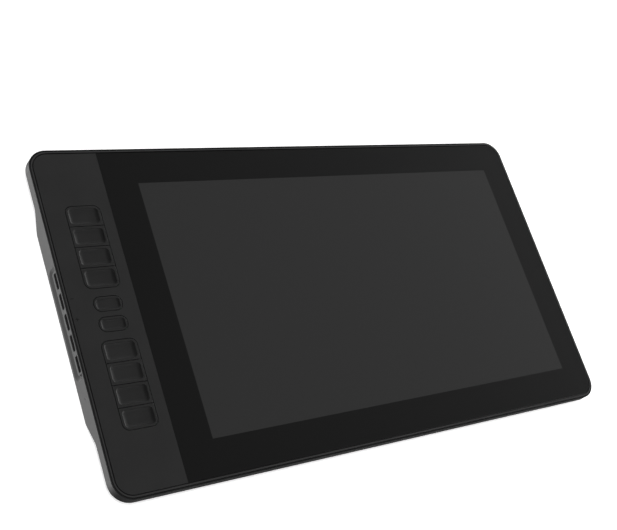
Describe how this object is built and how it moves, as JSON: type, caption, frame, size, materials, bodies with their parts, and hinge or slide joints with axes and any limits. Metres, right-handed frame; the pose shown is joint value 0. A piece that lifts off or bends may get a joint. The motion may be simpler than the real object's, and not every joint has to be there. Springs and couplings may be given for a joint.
{
  "type": "graphics tablet with screen",
  "caption": "Flat black pen display: large screen under cover glass, column of dished express keys at the left, side keys in a finger scoop and a thicker band across the back.",
  "frame": {"origin": "centre of the plane that the rubber feet stand on, under the middle of the case", "axes": "+X along the screen, away from the express keys; +Y up the screen; +Z out of the glass"},
  "size_m": [0.4502, 0.2506, 0.0168],
  "materials": {
    "cover_plastic": "black, satin moulded",
    "frame_plastic": "black, satin moulded",
    "cover_glass": "etched, dark behind",
    "panel_plastic": "black, matt",
    "key_plastic": "black, matt",
    "side_key_plastic": "black, satin",
    "adhesive_tape": "black foam",
    "display_cell": "dark",
    "backlight_tray": "white",
    "circuit_board": "green resist",
    "chip_plastic": "black",
    "shield_metal": "plain sheet",
    "screw_steel": "plain",
    "screw_black": "blackened",
    "socket_plastic": "black",
    "socket_metal": "plated",
    "flat_cable": "amber film",
    "connector_plastic": "ivory",
    "indicator_plastic": "smoked",
    "insert_brass": "machined",
    "foot_rubber": "matt"
  },
  "bodies": {
    "case": {"back_cover": "cover_plastic", "front_frame": "frame_plastic", "cover_glass": "cover_glass", "key_panel": "panel_plastic", "glass_tape": "adhesive_tape", "panel_tape": "adhesive_tape", "lcd_panel": "display_cell", "backlight": "backlight_tray", "digitizer_board": "circuit_board", "shield_plate": "shield_metal", "shield_screws": "screw_steel", "key_board": "circuit_board", "key_switches": "chip_plastic", "key_board_screws": "screw_steel", "side_board": "circuit_board", "side_switches": "chip_plastic", "side_board_screws": "screw_steel", "main_board": "circuit_board", "board_chips": "chip_plastic", "main_board_screws": "screw_steel", "power_socket": "socket_plastic", "power_pin": "socket_metal", "video_socket": "socket_metal", "video_tongue": "socket_plastic", "data_socket": "socket_metal", "data_tongue": "socket_plastic", "display_flex": "flat_cable", "sensor_flex": "flat_cable", "key_flex": "flat_cable", "side_flex": "flat_cable", "cable_connectors": "connector_plastic", "indicator_lens": "indicator_plastic", "case_screws": "screw_black", "mount_inserts": "insert_brass", "rubber_feet": "foot_rubber"},
    "express_key_1": {"express_key_1": "key_plastic"},
    "express_key_2": {"express_key_2": "key_plastic"},
    "express_key_3": {"express_key_3": "key_plastic"},
    "express_key_4": {"express_key_4": "key_plastic"},
    "express_key_5": {"express_key_5": "key_plastic"},
    "express_key_6": {"express_key_6": "key_plastic"},
    "express_key_7": {"express_key_7": "key_plastic"},
    "express_key_8": {"express_key_8": "key_plastic"},
    "express_key_9": {"express_key_9": "key_plastic"},
    "express_key_10": {"express_key_10": "key_plastic"},
    "side_key_1": {"side_key_1": "side_key_plastic"},
    "side_key_2": {"side_key_2": "side_key_plastic"},
    "side_key_3": {"side_key_3": "side_key_plastic"},
    "side_key_4": {"side_key_4": "side_key_plastic"},
    "side_key_5": {"side_key_5": "side_key_plastic"}
  },
  "joints": [
    {"name": "express_key_1_press", "type": "slide", "parent": "case", "child": "express_key_1", "axis": [0, 0, -1], "range_m": [0, 0.0006], "stiffness_N_per_m": 800, "springref_m": -0.0003},
    {"name": "express_key_2_press", "type": "slide", "parent": "case", "child": "express_key_2", "axis": [0, 0, -1], "range_m": [0, 0.0006], "stiffness_N_per_m": 800, "springref_m": -0.0003},
    {"name": "express_key_3_press", "type": "slide", "parent": "case", "child": "express_key_3", "axis": [0, 0, -1], "range_m": [0, 0.0006], "stiffness_N_per_m": 800, "springref_m": -0.0003},
    {"name": "express_key_4_press", "type": "slide", "parent": "case", "child": "express_key_4", "axis": [0, 0, -1], "range_m": [0, 0.0006], "stiffness_N_per_m": 800, "springref_m": -0.0003},
    {"name": "express_key_5_press", "type": "slide", "parent": "case", "child": "express_key_5", "axis": [0, 0, -1], "range_m": [0, 0.0006], "stiffness_N_per_m": 800, "springref_m": -0.0003},
    {"name": "express_key_6_press", "type": "slide", "parent": "case", "child": "express_key_6", "axis": [0, 0, -1], "range_m": [0, 0.0006], "stiffness_N_per_m": 800, "springref_m": -0.0003},
    {"name": "express_key_7_press", "type": "slide", "parent": "case", "child": "express_key_7", "axis": [0, 0, -1], "range_m": [0, 0.0006], "stiffness_N_per_m": 800, "springref_m": -0.0003},
    {"name": "express_key_8_press", "type": "slide", "parent": "case", "child": "express_key_8", "axis": [0, 0, -1], "range_m": [0, 0.0006], "stiffness_N_per_m": 800, "springref_m": -0.0003},
    {"name": "express_key_9_press", "type": "slide", "parent": "case", "child": "express_key_9", "axis": [0, 0, -1], "range_m": [0, 0.0006], "stiffness_N_per_m": 800, "springref_m": -0.0003},
    {"name": "express_key_10_press", "type": "slide", "parent": "case", "child": "express_key_10", "axis": [0, 0, -1], "range_m": [0, 0.0006], "stiffness_N_per_m": 800, "springref_m": -0.0003},
    {"name": "side_key_1_press", "type": "slide", "parent": "case", "child": "side_key_1", "axis": [1, 0, 0], "range_m": [0, 0.0005], "stiffness_N_per_m": 800, "springref_m": -0.0003},
    {"name": "side_key_2_press", "type": "slide", "parent": "case", "child": "side_key_2", "axis": [1, 0, 0], "range_m": [0, 0.0005], "stiffness_N_per_m": 800, "springref_m": -0.0003},
    {"name": "side_key_3_press", "type": "slide", "parent": "case", "child": "side_key_3", "axis": [1, 0, 0], "range_m": [0, 0.0005], "stiffness_N_per_m": 800, "springref_m": -0.0003},
    {"name": "side_key_4_press", "type": "slide", "parent": "case", "child": "side_key_4", "axis": [1, 0, 0], "range_m": [0, 0.0005], "stiffness_N_per_m": 800, "springref_m": -0.0003},
    {"name": "side_key_5_press", "type": "slide", "parent": "case", "child": "side_key_5", "axis": [1, 0, 0], "range_m": [0, 0.0005], "stiffness_N_per_m": 800, "springref_m": -0.0003}
  ]
}
